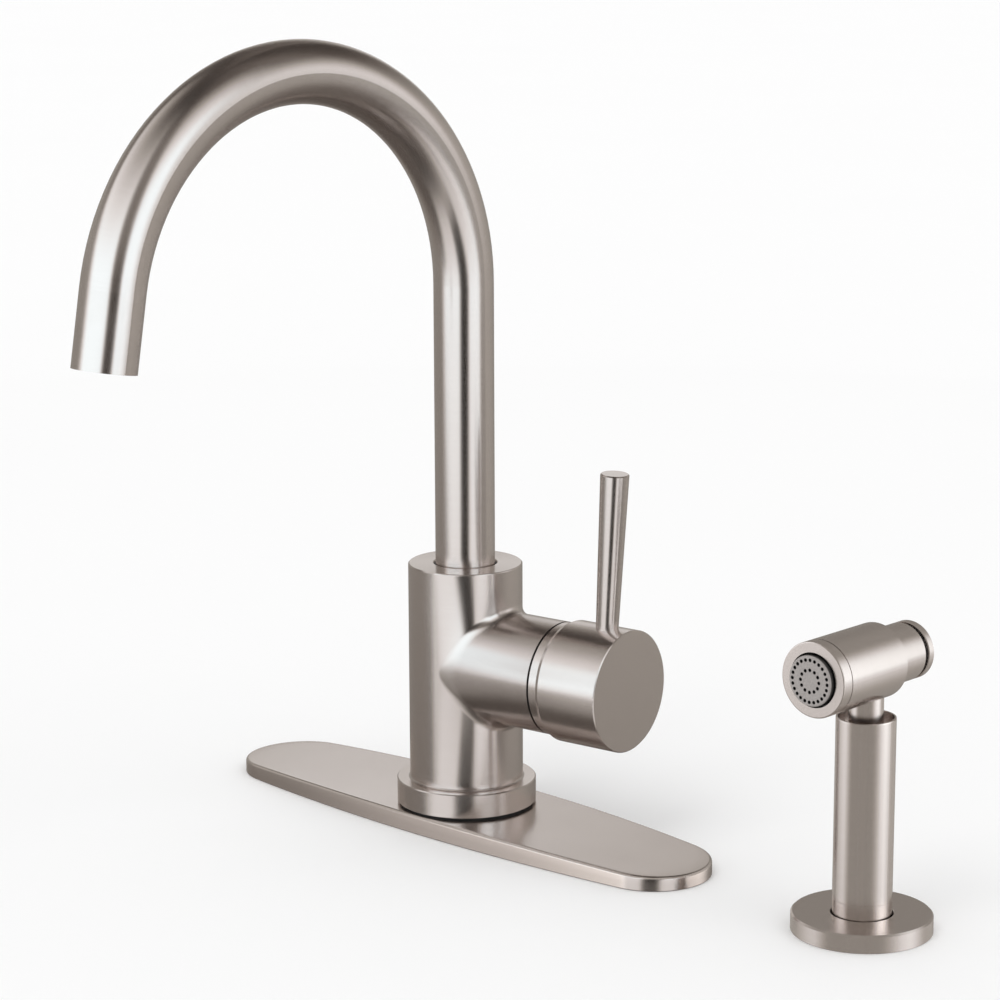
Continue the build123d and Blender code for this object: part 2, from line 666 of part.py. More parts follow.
def spray_disc():
    front = HEAD_FACE + DISC_PROUD
    plate = turned([
        (0, WASHER_SEAT + 2), (11.0, WASHER_SEAT + 2), (11.0, HEAD_FACE - 2), (DISC_RADIUS, HEAD_FACE - 2),
        (DISC_RADIUS, front - 0.6), (DISC_RADIUS - 0.2, front - 0.2), (DISC_RADIUS - 0.6, front), (0, front),
    ])
    plate -= disc(9, WASHER_SEAT + 1, HEAD_FACE - 1)
    for count, radius in SPRAY_HOLES:
        for i in range(count):
            hole = Pos(radius, 0, 0) * disc(SPRAY_HOLE_RADIUS, HEAD_FACE - 2, front + 1)
            plate -= Rot(0, 0, 360 / count * i) * hole
    return on_head(plate)


def face_washer():
    return on_head(ring(11.0, 8, WASHER_SEAT, WASHER_SEAT + 2))


def spray_button():
    face = HEAD_REAR - BUTTON_GAP
    button = turned([
        (0, BUTTON_END), (HEAD_REAR_RADIUS - 1.0, BUTTON_END), (HEAD_REAR_RADIUS, BUTTON_END + 1.0),
        (HEAD_REAR_RADIUS, face - 0.3), (HEAD_REAR_RADIUS - 0.3, face), (0, face),
    ])
    return on_head(button - disc(STEM_RADIUS, face - 2, face + 1))


def button_plunger():
    """Plastic collar on the button that runs in the head's pocket, round the spring."""
    face = HEAD_REAR - BUTTON_GAP
    return on_head(ring(BOSS_RADIUS, 7.6, face, face + 6))


def valve_stem():
    """Runs from the button to the valve, whose flange backs the seal."""
    rear = HEAD_REAR - BUTTON_GAP - 2
    return on_head(disc(STEM_RADIUS, rear, VALVE_SEAT + 2.5) + disc(5.4, VALVE_SEAT + 2, VALVE_SEAT + 3.4))


def valve_seal():
    return on_head(ring(5.4, STEM_RADIUS, VALVE_SEAT + 0.02, VALVE_SEAT + 2))


def button_spring():
    return on_head(coil(5.6, 0.6, HEAD_REAR - BUTTON_GAP, POCKET_END, 4))


# ---- all pieces -----------------------------------------------------------------

NODES = {
    "deck_plate": deck_plate,
    "plate_gasket": plate_gasket,
    "ring_gasket": lambda: ring(28.2, SPIGOT_RADIUS + 1, PLATE_SEAT_Z, RING_BOTTOM),
    "base_ring": base_ring,
    "faucet_body": faucet_body,
    "spout_bushing": spout_bushing,
    "spout_set_screw": spout_set_screw,
    "diverter_sleeve": diverter_sleeve,
    "diverter_foot": diverter_foot,
    "diverter_piston": diverter_piston,
    "diverter_poppet": diverter_poppet,
    "diverter_spring": diverter_spring,
    "mounting_studs": mounting_studs,
    "deck_washer": lambda: horseshoe(-DECK_THICKNESS - 3, -DECK_THICKNESS),
    "clamp_washer": lambda: horseshoe(-DECK_THICKNESS - 5, -DECK_THICKNESS - 3),
    "mounting_nuts": mounting_nuts,
    "spout_tube": spout_tube,
    "spout_shank": spout_shank,
    "spout_o_rings": spout_o_rings,
    "aerator_housing": aerator_housing,
    "aerator_insert": aerator_insert,
    "aerator_washer": aerator_washer,
    "cartridge_base": cartridge_base,
    "cartridge_seals": cartridge_seals,
    "cartridge_housing": cartridge_housing,
    "fixed_disc": fixed_disc,
    "moving_disc": moving_disc,
    "disc_carrier": disc_carrier,
    "cartridge_rotor": cartridge_rotor,
    "stem_pin": stem_pin,
    "cartridge_stem": cartridge_stem,
    "cartridge_nut": cartridge_nut,
    "cap_gasket": cap_gasket,
    "trim_cap": trim_cap,
    "handle_hub": handle_hub,
    "handle_lever": handle_lever,
    "hub_set_screw": hub_set_screw,
    "spray_holder": spray_holder,
    "holder_liner": holder_liner,
    "holder_gasket": holder_gasket,
    "holder_washer": holder_washer,
    "holder_nut": holder_nut,
    "grip_collar": grip_collar,
    "hose_connector": hose_connector,
    "spray_grip": spray_grip,
    "spray_neck": spray_neck,
    "spray_head": spray_head,
    "face_ring": face_ring,
    "spray_disc": spray_disc,
    "face_washer": face_washer,
    "spray_button": spray_button,
    "button_plunger": button_plunger,
    "valve_stem": valve_stem,
    "valve_seal": valve_seal,
    "button_spring": button_spring,
}

os.makedirs("parts", exist_ok=True)
for name, make in NODES.items():
    export_step(make(), f"parts/{name}.step")
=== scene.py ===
import math

import bmesh
import bpy
import numpy as np
from mathutils import Matrix, Vector


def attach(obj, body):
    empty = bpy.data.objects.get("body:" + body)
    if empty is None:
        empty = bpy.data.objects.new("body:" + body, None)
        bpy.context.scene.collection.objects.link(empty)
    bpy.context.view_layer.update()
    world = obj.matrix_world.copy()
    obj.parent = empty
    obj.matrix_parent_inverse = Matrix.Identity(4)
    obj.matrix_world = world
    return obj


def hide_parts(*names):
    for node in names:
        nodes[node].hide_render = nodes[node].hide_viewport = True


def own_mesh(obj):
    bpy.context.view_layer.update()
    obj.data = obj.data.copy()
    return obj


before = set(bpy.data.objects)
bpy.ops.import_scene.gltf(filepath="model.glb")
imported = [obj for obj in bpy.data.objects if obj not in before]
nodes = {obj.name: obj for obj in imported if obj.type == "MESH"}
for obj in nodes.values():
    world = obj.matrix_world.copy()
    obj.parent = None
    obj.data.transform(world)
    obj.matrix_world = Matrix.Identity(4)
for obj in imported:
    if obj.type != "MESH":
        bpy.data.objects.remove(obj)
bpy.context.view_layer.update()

MM = 0.001

# ---- places on the object, in metres and radians ---------------------------------

BODY_YAW = math.radians(5.9)  # the body is turned this far on its deck plate
BRANCH_AXIS = Vector((math.cos(BODY_YAW), math.sin(BODY_YAW), 0))
BRANCH_Z = 69.9  # in millimetres
BRANCH_CENTRE = Vector((0, 0, BRANCH_Z * MM))
LEVER_REACH = 71.6 * MM  # from the body's axis to the lever's foot
LEVER_LEAN = math.radians(3.1)
ARC_RADIUS = 91.4 * MM
ARC_HEIGHT = 230 * MM
ARC_ANGLE = math.radians(170)
SPRAY_AXIS = Vector((205.7, 3.8, 0)) * MM
HEAD_CENTRE = Vector((205.7, 3.8, 105.5)) * MM
DISC_FRONT = Vector((205.7, -31.7, 105.5)) * MM  # middle of the spray disc's face
UP = Vector((0, 0, 1))

# ---- camera, fitted to the photograph --------------------------------------------

TARGET = Vector((0, 0, 120 * MM))
AZIMUTH = math.radians(43.8745)
ELEVATION = math.radians(13.0118)
DISTANCE = 1.2851
LENS = 110.416
PAN = math.radians(-0.670)
PITCH = math.radians(-0.8149)
ROLL = math.radians(-0.209)


def direction(azimuth, elevation):
    """From the object towards azimuth, elevation; azimuth 0 is -Y and 90 degrees is +X."""
    flat = math.cos(elevation)
    return Vector((math.sin(azimuth) * flat, -math.cos(azimuth) * flat, math.sin(elevation)))


def add_camera():
    data = bpy.data.cameras.new("camera")
    data.lens = LENS
    data.clip_start = 0.05
    data.clip_end = 100
    camera = bpy.data.objects.new("camera", data)
    bpy.context.scene.collection.objects.link(camera)
    back = direction(AZIMUTH + PAN, ELEVATION + PITCH)
    right = Vector((math.cos(AZIMUTH + PAN), math.sin(AZIMUTH + PAN), 0))
    turn = Matrix((right, back.cross(right), back)).transposed() @ Matrix.Rotation(ROLL, 3, "Z")
    spot = TARGET + direction(AZIMUTH, ELEVATION) * DISTANCE
    camera.matrix_world = Matrix.Translation(spot) @ turn.to_4x4()
    bpy.context.scene.camera = camera


# ---- small helpers for node trees ------------------------------------------------

class Tree:
    """Short calls for building a node tree."""

    def __init__(self, tree):
        self.tree = tree
        self.tree.nodes.clear()

    def add(self, kind, **settings):
        node = self.tree.nodes.new(kind)
        for name, value in settings.items():
            setattr(node, name, value)
        return node

    def put(self, socket, value):
        """Link a socket to a socket, or set its value."""
        if isinstance(value, bpy.types.NodeSocket):
            self.tree.links.new(value, socket)
        else:
            socket.default_value = value

    def math(self, operation, *values):
        node = self.add("ShaderNodeMath", operation=operation)
        for socket, value in zip(node.inputs, values):
            self.put(socket, value)
        return node.outputs[0]

    def times(self, first, second):
        return self.math("MULTIPLY", first, second)

    def plus(self, first, second):
        return self.math("ADD", first, second)

    def minus(self, first, second):
        return self.math("SUBTRACT", first, second)

    def larger(self, first, second):
        return self.math("MAXIMUM", first, second)

    def smaller(self, first, second):
        return self.math("MINIMUM", first, second)

    def vector(self, operation, *values, out=0):
        node = self.add("ShaderNodeVectorMath", operation=operation)
        for socket, value in zip(node.inputs, values):
            self.put(socket, value)
        return node.outputs[out]

    def scaled(self, vector, factor):
        node = self.add("ShaderNodeVectorMath", operation="SCALE")
        self.put(node.inputs[0], vector)
        self.put(node.inputs["Scale"], factor)
        return node.outputs[0]

    def ramp(self, value, low, high, to_low=0.0, to_high=1.0):
        """Smooth step from to_low at low to to_high at high."""
        node = self.add("ShaderNodeMapRange", interpolation_type="SMOOTHSTEP")
        for name, given in (("Value", value), ("From Min", low), ("From Max", high),
                            ("To Min", to_low), ("To Max", to_high)):
            self.put(node.inputs[name], given)
        return node.outputs[0]

    def gray(self, value):
        """The same value in all three channels."""
        node = self.add("ShaderNodeCombineXYZ")
        for socket in node.inputs:
            self.put(socket, value)
        return node.outputs[0]

    def mix(self, factor, first, second):
        node = self.add("ShaderNodeMix", data_type="RGBA")
        self.put(node.inputs["Factor"], factor)
        self.put(node.inputs["A"], first)
        self.put(node.inputs["B"], second)
        return node.outputs["Result"]

    def blend(self, factor, first, second):
        """Mix of two vectors."""
        node = self.add("ShaderNodeMix", data_type="VECTOR")
        self.put(node.inputs[0], factor)
        self.put(node.inputs[4], first)
        self.put(node.inputs[5], second)
        return node.outputs[1]

    def noise(self, vector, scale, detail=2.0, roughness=0.5):
        node = self.add("ShaderNodeTexNoise")
        self.put(node.inputs["Vector"], vector)
        self.put(node.inputs["Scale"], scale)
        self.put(node.inputs["Detail"], detail)
        self.put(node.inputs["Roughness"], roughness)
        return node.outputs["Fac"]

    def place(self):
        """Where the shaded point is, in the object's own coordinates."""
        return self.add("ShaderNodeTexCoord").outputs["Object"]

    def split(self, vector):
        """The three parts of a vector."""
        node = self.add("ShaderNodeSeparateXYZ")
        self.put(node.inputs[0], vector)
        return tuple(node.outputs)

    def bump(self, height, strength, distance):
        node = self.add("ShaderNodeBump")
        self.put(node.inputs["Height"], height)
        self.put(node.inputs["Strength"], strength)
        self.put(node.inputs["Distance"], distance)
        return node.outputs[0]


def new_material(name):
    material = bpy.data.materials.new(name)
    material.use_nodes = True
    return material, Tree(material.node_tree)


def rgb(red, green, blue):
    return (red, green, blue, 1.0)


def principled(tree, **inputs):
    """Principled surface with its inputs by name, underscores for spaces."""
    shader = tree.add("ShaderNodeBsdfPrincipled")
    for name, value in inputs.items():
        tree.put(shader.inputs[name.replace("_", " ")], value)
    output = tree.add("ShaderNodeOutputMaterial")
    tree.put(output.inputs["Surface"], shader.outputs[0])
    return shader


# ---- materials -------------------------------------------------------------------

NICKEL = rgb(0.69, 0.63, 0.605)
NICKEL_SHADE = rgb(0.66, 0.60, 0.572)
SHADED_BRANCH_NICKEL = rgb(0.585, 0.53, 0.508)  # the branch: a darker base colour, painted shade that dims its highlight
NICKEL_ROUGHNESS = 0.235
GRAIN = 7000  # noise cells per metre across the brushing lines
SLOW = 60  # and along them


def turned_frame(t, place, centre, axis):
    """Brushing direction, distance along the brushed profile, for a piece turned on an axis."""
    arm = t.vector("SUBTRACT", place, centre)
    along = t.vector("DOT_PRODUCT", arm, axis, out=1)
    radial = t.vector("SUBTRACT", arm, t.scaled(axis, along))
    reach = t.plus(along, t.vector("LENGTH", radial, out=1))
    return t.vector("CROSS_PRODUCT", axis, arm), reach


def tangent_from(t, around):
    """Tangent across the brushing lines, which is where a brushed surface spreads its gloss."""
    turn = t.add("ShaderNodeVectorTransform", vector_type="VECTOR",
                 convert_from="OBJECT", convert_to="WORLD")
    t.put(turn.inputs[0], around)
    normal = t.add("ShaderNodeNewGeometry").outputs["Normal"]
    return t.vector("CROSS_PRODUCT", normal, turn.outputs[0])


def satin_surface(t, place, tangent, lines, shade_share=None):
    """Satin nickel from its place, its tangent and the coordinates of its brushing lines.

    The last argument is the share of a darker base colour, painted shade that dims the highlight,
    where there is any.
    """
    grain = t.noise(lines, 1.0, 3.0, 0.6)
    cloud = t.noise(place, 35.0, 2.0)
    rough = t.plus(t.ramp(grain, 0.25, 0.75, -0.012, 0.012), t.ramp(cloud, 0.3, 0.7, -0.01, 0.01))
    color = t.mix(t.ramp(grain, 0.3, 0.7), NICKEL_SHADE, NICKEL)
    # painted shade: the base colour darkens by the given share, to dim the highlight
    if shade_share is not None:
        color = t.mix(shade_share, color, SHADED_BRANCH_NICKEL)
    principled(
        t, Base_Color=color, Metallic=1.0, Roughness=t.plus(rough, NICKEL_ROUGHNESS),
        Anisotropic=0.6, Tangent=tangent, Normal=t.bump(grain, 0.02, 0.02 * MM),
    )


def line_coordinates(t, place, axis, reach):
    """Noise coordinates that change fast along reach and slowly everywhere else."""
    return t.vector("ADD", t.scaled(place, SLOW), t.scaled(axis, t.times(reach, GRAIN)))


def turned_satin(name, centre, axis):
    """Satin nickel brushed round an axis. Flat ends are brushed straight."""
    material, t = new_material(name)
    place = t.place()
    around, reach = turned_frame(t, place, centre, axis)
    normal = t.add("ShaderNodeNewGeometry").outputs["Normal"]
    facing = t.math("ABSOLUTE", t.vector("DOT_PRODUCT", normal, axis, out=1))
    flat = t.ramp(facing, 0.85, 0.97)
    straight = tuple(Vector(axis).orthogonal().normalized())
    tangent = t.blend(flat, tangent_from(t, around), straight)
    satin_surface(t, place, tangent, line_coordinates(t, place, axis, reach))
    return material


def body_satin(name):
    """The casting: its column is brushed round one axis, its branch round another."""
    material, t = new_material(name)
    place = t.place()
    column, height = turned_frame(t, place, (0, 0, 0), tuple(UP))
    branch, length = turned_frame(t, place, tuple(BRANCH_CENTRE), tuple(BRANCH_AXIS))
    flat = t.vector("MULTIPLY", place, (1.0, 1.0, 0.0))
    out = t.ramp(t.vector("LENGTH", flat, out=1), 24.3 * MM, 27.5 * MM)
    around = t.blend(out, column, branch)
    shift = t.plus(t.times(height, t.minus(1.0, out)), t.times(length, out))
    lines = line_coordinates(t, place, tuple(UP), shift)
    # the branch gets a darker base colour, painted shade that dims its highlight
    satin_surface(t, place, tangent_from(t, around), lines, shade_share=out)
    return material


def spout_satin(name):
    """The bent tube, brushed round its own centre line."""
    material, t = new_material(name)
    place = t.place()
    y, z = t.split(t.vector("SUBTRACT", place, (0, -ARC_RADIUS, ARC_HEIGHT)))[1:]
    angle = t.math("WRAP", t.math("ARCTAN2", z, y), 1.5 * math.pi, -0.5 * math.pi)
    bend = t.smaller(t.larger(angle, 0.0), ARC_ANGLE)
    along = t.add("ShaderNodeCombineXYZ")
    t.put(along.inputs[1], t.times(t.math("SINE", bend), -1.0))
    t.put(along.inputs[2], t.math("COSINE", bend))
    below = t.times(t.smaller(z, 0.0), t.math("SIGN", y))
    reach = t.plus(t.times(bend, ARC_RADIUS), below)
    satin_surface(t, place, along.outputs[0], line_coordinates(t, place, (0.0, 0.0, 1.0), reach))
    return material


def plate_satin(name):
    """Satin nickel brushed straight along X."""
    material, t = new_material(name)
    place = t.place()
    lines = t.vector("MULTIPLY", place, (SLOW, GRAIN, GRAIN))
    satin_surface(t, place, tangent_from(t, (1.0, 0.0, 0.0)), lines)
    return material


SPRAY_HOLES = ((24, 8.0 * MM), (12, 4.2 * MM))  # count and radius of each circle of holes
HOLE_RIM = (0.62 * MM, 0.78 * MM)  # where the painted shade round a hole ends and the face begins
# the colour of the painted shade on the spray disc
BLACK = rgb(0.01, 0.01, 0.01)


def spray_face(name):
    """The spray disc: a matt grey face with painted shade in and round its holes, and darker with
    depth down its sides.
    """
    material, t = new_material(name)
    place = t.place()
    x, y, z = t.split(t.vector("SUBTRACT", place, tuple(DISC_FRONT)))
    reach = t.math("SQRT", t.plus(t.times(x, x), t.times(z, z)))
    turn = t.math("DIVIDE", t.math("ARCTAN2", z, x), 2 * math.pi)
    # painted shade: black in each hole and on a thin ring round it
    holes = 1.0
    for count, radius in SPRAY_HOLES:
        share = t.minus(t.math("FRACT", t.plus(t.times(turn, count), 0.5)), 0.5)
        along = t.times(share, 2 * math.pi * radius / count)
        across = t.minus(reach, radius)
        away = t.math("SQRT", t.plus(t.times(along, along), t.times(across, across)))
        holes = t.times(holes, t.ramp(away, *HOLE_RIM))
    # darker with depth behind the face: painted shade down the holes' walls, and the same darkening
    # down the disc's sides
    side = t.times(t.ramp(y, 0.25 * MM, 0.7 * MM, 1.0, 0.16),
                   t.ramp(y, 0.9 * MM, 2.2 * MM, 1.0, 0.03))
    skin = t.noise(place, 2600.0, 2.0, 0.7)
    grey = t.mix(t.ramp(skin, 0.3, 0.7), rgb(0.36, 0.335, 0.325), rgb(0.46, 0.43, 0.415))
    principled(
        t, Base_Color=t.mix(t.times(side, holes), BLACK, grey), Metallic=0.35,
        Roughness=t.ramp(skin, 0.2, 0.8, 0.42, 0.55), Normal=t.bump(skin, 0.3, 0.05 * MM),
    )
    return material


def moulded(name, color, shade, roughness, **more):
    """Plastic, rubber or ceramic: two close colours and a fine skin."""
    material, t = new_material(name)
    place = t.place()
    cloud = t.noise(place, 60.0, 3.0)
    skin = t.noise(place, 900.0, 3.0, 0.6)
    principled(
        t, Base_Color=t.mix(cloud, rgb(*color), rgb(*shade)),
        Roughness=t.ramp(skin, 0.2, 0.8, roughness - 0.05, roughness + 0.05),
        Normal=t.bump(skin, 0.15, 0.04 * MM), **more,
    )
    return material


def machined(name, color, shade, roughness):
    """Plain turned metal, for the parts that the casings hide."""
    material, t = new_material(name)
    place = t.place()
    lines = t.noise(t.vector("MULTIPLY", place, (SLOW, SLOW, 2500)), 1.0, 3.0)
    cloud = t.noise(place, 80.0, 3.0)
    principled(
        t, Base_Color=t.mix(cloud, rgb(*color), rgb(*shade)), Metallic=1.0,
        Roughness=t.ramp(lines, 0.2, 0.8, roughness - 0.06, roughness + 0.06),
    )
    return material


def assign(material, *names):
    for name in names:
        slots = nodes[name].data.materials
        slots.clear()
        slots.append(material)


def dress_cad_nodes():
    """A material for every solid, the hidden ones too."""
    lean = Matrix.Rotation(LEVER_LEAN, 3, Vector((-math.sin(BODY_YAW), math.cos(BODY_YAW), 0)))
    lever_foot = BRANCH_CENTRE + BRANCH_AXIS * LEVER_REACH
    column = turned_satin("nickel_column", (0, 0, 0), tuple(UP))
    branch = turned_satin("nickel_branch", tuple(BRANCH_CENTRE), tuple(BRANCH_AXIS))
    lever = turned_satin("nickel_lever", tuple(lever_foot), tuple(lean @ UP))
    grip = turned_satin("nickel_grip", tuple(SPRAY_AXIS), tuple(UP))
    head = turned_satin("nickel_head", tuple(HEAD_CENTRE), (0.0, -1.0, 0.0))
    assign(plate_satin("nickel_plate"), "deck_plate")
    assign(column, "base_ring")
    assign(body_satin("nickel_body"), "faucet_body")
    assign(spout_satin("nickel_spout"), "spout_tube")
    assign(branch, "trim_cap", "handle_hub")
    assign(lever, "handle_lever")
    assign(grip, "spray_holder", "grip_collar", "spray_grip", "spray_neck")
    assign(head, "spray_head", "face_ring", "spray_button")
    assign(spray_face("spray_face"), "spray_disc")
    rubber = moulded("black_rubber", (0.018, 0.018, 0.019), (0.028, 0.027, 0.027), 0.62,
                     Specular_IOR_Level=0.35)
    assign(rubber, "plate_gasket", "ring_gasket", "cap_gasket", "holder_gasket", "deck_washer",
           "spout_o_rings", "aerator_washer", "cartridge_seals", "diverter_poppet", "face_washer",
           "valve_seal")
    dark = moulded("dark_plastic", (0.012, 0.012, 0.013), (0.02, 0.02, 0.021), 0.45)
    assign(dark, "spout_bushing", "holder_liner", "cartridge_housing", "cartridge_base",
           "cartridge_rotor", "holder_washer", "button_plunger")
    white = moulded("white_plastic", (0.74, 0.74, 0.72), (0.69, 0.69, 0.67), 0.4)
    assign(white, "aerator_housing", "aerator_insert", "diverter_sleeve", "diverter_foot",
           "diverter_piston", "disc_carrier")
    ceramic = moulded("ceramic", (0.83, 0.82, 0.79), (0.78, 0.77, 0.74), 0.18)
    assign(ceramic, "fixed_disc", "moving_disc")
    brass = machined("brass", (0.72, 0.55, 0.27), (0.62, 0.46, 0.22), 0.3)
    assign(brass, "spout_shank", "cartridge_nut", "holder_nut", "hose_connector", "cartridge_stem")
    steel = machined("zinc_steel", (0.58, 0.58, 0.6), (0.5, 0.5, 0.52), 0.34)
    assign(steel, "mounting_studs", "clamp_washer", "mounting_nuts", "spout_set_screw",
           "hub_set_screw", "stem_pin", "diverter_spring", "button_spring", "valve_stem")


# ---- pieces of the scene's own ---------------------------------------------------

SHARP = math.radians(25)  # edges that turn more than this stay sharp


def finish_mesh(bm, mesh):
    """Moves a BMesh into its mesh, shaded smooth between its sharp edges."""
    bm.to_mesh(mesh)
    bm.free()
    mesh.shade_smooth()
    mesh.set_sharp_from_angle(angle=SHARP)


def new_object(name, data):
    piece = bpy.data.objects.new(name, data)
    bpy.context.scene.collection.objects.link(piece)
    return piece


# ---- threads, which the solids leave plain ---------------------------------------

TURN_BODY = Matrix.Rotation(BODY_YAW, 3, "Z")
STUD_PLACES = [TURN_BODY @ (Vector((-2, side * 12, 0)) * MM) for side in (1, -1)]
STUD_RADIUS = 3 * MM
STUD_TIP_RADIUS = 2.2 * MM
STUD_PROFILE = [(0, 8), (3, 8), (3, -4)]  # radius and height in millimetres, above the thread
STUD_PITCH = 1 * MM
SHANK_RADIUS = 15 * MM
SHANK_PITCH = 1.5 * MM
FLANGE_PROFILE = [(13, 4.5), (12.1, 4.5), (12.1, 6.8), (12.3, 7), (26.6, 7), (27.3, 6.3), (27.3, 0),
                  (24, 0), (24, 1.5), (15, 1.5)]
STEPS_PER_PITCH = 8
CREST = 0.12  # share of the pitch on which a crest or a root is flat, to each side


def threaded_run(radius, start, end, pitch, depth):
    """Rows (radius, height, groove depth) of a thread that runs from start down to end."""
    count = round((start - end) / pitch * STEPS_PER_PITCH)
    rows = []
    for i in range(count + 1):
        z = start + (end - start) * i / count
        fade = min(1.0, (start - z) / pitch)
        rows.append((radius, z, depth * fade))
    return rows


def turned_piece(name, centres, rows, pitch, material, segments=96, closed=False):
    """Mesh turned about vertical axes from rows (radius, height, groove depth)."""
    mesh = bpy.data.meshes.new(name)
    bm = bmesh.new()
    for centre in centres:
        rings = []
        for radius, z, groove in rows:
            if radius == 0:
                rings.append([bm.verts.new(centre + Vector((0, 0, z)))] * segments)
                continue
            ring = []
            for i in range(segments):
                share = i / segments
                wave = 1 - abs(2 * ((z / pitch - share) % 1.0) - 1)
                reach = radius - groove * min(1.0, max(0.0, (wave - CREST) / (1 - 2 * CREST)))
                angle = 2 * math.pi * share
                spot = Vector((reach * math.cos(angle), reach * math.sin(angle), z))
                ring.append(bm.verts.new(centre + spot))
            rings.append(ring)
        pairs = list(zip(rings, rings[1:]))
        if closed:
            pairs.append((rings[-1], rings[0]))
        for upper, lower in pairs:
            for i in range(segments):
                j = (i + 1) % segments
                corners = list(dict.fromkeys((upper[j], upper[i], lower[i], lower[j])))
                bm.faces.new(corners)
    bmesh.ops.recalc_face_normals(bm, faces=bm.faces)
    finish_mesh(bm, mesh)
    mesh.materials.append(material)
    piece = new_object(name, mesh)
    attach(piece, "root")
    return piece


def add_threads():
    """The two studs and the sprayer's holder, with turns of thread cut into them."""
    steel = nodes["mounting_nuts"].data.materials[0]
    rows = [(radius * MM, z * MM, 0) for radius, z in STUD_PROFILE]
    rows += threaded_run(STUD_RADIUS, -4 * MM, -61.2 * MM, STUD_PITCH, 0.6 * MM)
    rows += [(STUD_TIP_RADIUS, -62 * MM, 0), (0, -62 * MM, 0)]
    studs = turned_piece("threaded_studs", STUD_PLACES, rows, STUD_PITCH, steel,
                         segments=32)
    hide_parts("mounting_studs")

    nickel = nodes["spray_holder"].data.materials[0]
    rows = [(radius * MM, z * MM, 0) for radius, z in FLANGE_PROFILE]
    rows += threaded_run(SHANK_RADIUS, 0.5 * MM, -44.2 * MM, SHANK_PITCH, 0.85 * MM)
    rows += [(14.1 * MM, -45 * MM, 0), (13 * MM, -45 * MM, 0)]
    holder = turned_piece("holder_flange", [SPRAY_AXIS], rows, SHANK_PITCH, nickel,
                          segments=160, closed=True)
    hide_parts("spray_holder")


# ---- the two coil springs, copied from the solids ----------------------------------

def add_springs():
    """Each stands in for the solid's spring, as a copy of its mesh."""
    springs = (
        ("diverter_coil", "diverter_spring", "root", "diverter_shift", Vector((0, 0, 1)), 3 * MM),
        ("button_coil", "button_spring", "sprayer", "button_press", Vector((0, 1, 0)), 1.8 * MM),
    )
    for name, node, body, joint, axis, travel in springs:
        piece = new_object(name, nodes[node].data.copy())
        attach(piece, body)
        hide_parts(node)
        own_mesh(piece)


# ---- the casting, blended as photographed where its branch leaves it ---------------

BODY_RADIUS = 24.0  # all of these are in millimetres, in the body's own frame
BRANCH_RADIUS = 23.6
BRANCH_END_X = 46.0  # the branch's skin is moved up to here
SOLID_BLEND = 6.1  # the solid's own blend ends within this of both cylinders
BLEND_SIDE = 11.0  # radius of the blend at the front and back of the branch
BLEND_TOP = 3.2  # and above and below it
BLEND_EDGE = 0.9  # longest edge there
BLEND_HEIGHT = 39.0  # above and below the branch's axis, nothing is moved beyond this
SKIN_FROM_X = 2.6  # behind this the column stands alone
SKIN_Z = (20.0, 111.9)  # between the base ring and the rounded top edge
FAR = 1000.0


def skin_blend(points):
    """How far each point is from both cylinders, the cosine between them, and its blend radius."""
    x, y, z = points[:, 0], points[:, 1], points[:, 2] - BRANCH_Z
    column = np.hypot(x, y)
    branch = np.hypot(y, z)
    cosine = np.clip(y * y / (column * branch), 0.0, 0.999)
    radius = BLEND_TOP + (BLEND_SIDE - BLEND_TOP) * (y / branch) ** 2
    branch = np.where(x < SKIN_FROM_X, FAR, branch)
    return column - BODY_RADIUS, branch - BRANCH_RADIUS, cosine, radius


def skin_value(points):
    """Distance outside the casting's blended skin: a ball that rolls along both cylinders."""
    column, branch, cosine, radius = skin_blend(points)
    a, b = column - radius, branch - radius
    spread = 1.0 - cosine ** 2
    inside = (a - cosine * b < 0) & (b - cosine * a < 0)
    ball = radius - np.sqrt(np.maximum(a * a + b * b - 2 * a * b * cosine, 0.0) / spread)
    return np.where(inside, ball, np.minimum(column, branch))


def skin_slope(points):
    """Slope of skin_value at each point, from small steps to both sides."""
    step = 0.01
    slope = np.empty_like(points)
    for axis in range(3):
        shift = np.zeros(3)
        shift[axis] = step
        slope[:, axis] = (skin_value(points + shift) - skin_value(points - shift)) / (2 * step)
    return slope


def skin_normals(mesh, local, to_body):
    """Corner normals: exact ones on the casting's skin, the mesh's own elsewhere."""
    corners = np.array([tuple(n.vector) for n in mesh.corner_normals])
    spots = local([v.co for v in mesh.vertices])
    on = (np.abs(skin_value(spots)) < 0.03) & (spots[:, 2] > SKIN_Z[0]) & (spots[:, 2] < SKIN_Z[1])
    slope = skin_slope(spots)
    slope /= np.maximum(np.linalg.norm(slope, axis=1), 1e-6)[:, None]
    slope = slope @ to_body
    for face in mesh.polygons:
        corner = list(face.loop_indices)
        used = list(face.vertices)
        if all(on[used]) and min(slope[used] @ np.array(face.normal)) > 0.8:
            corners[corner] = slope[used]
    return corners


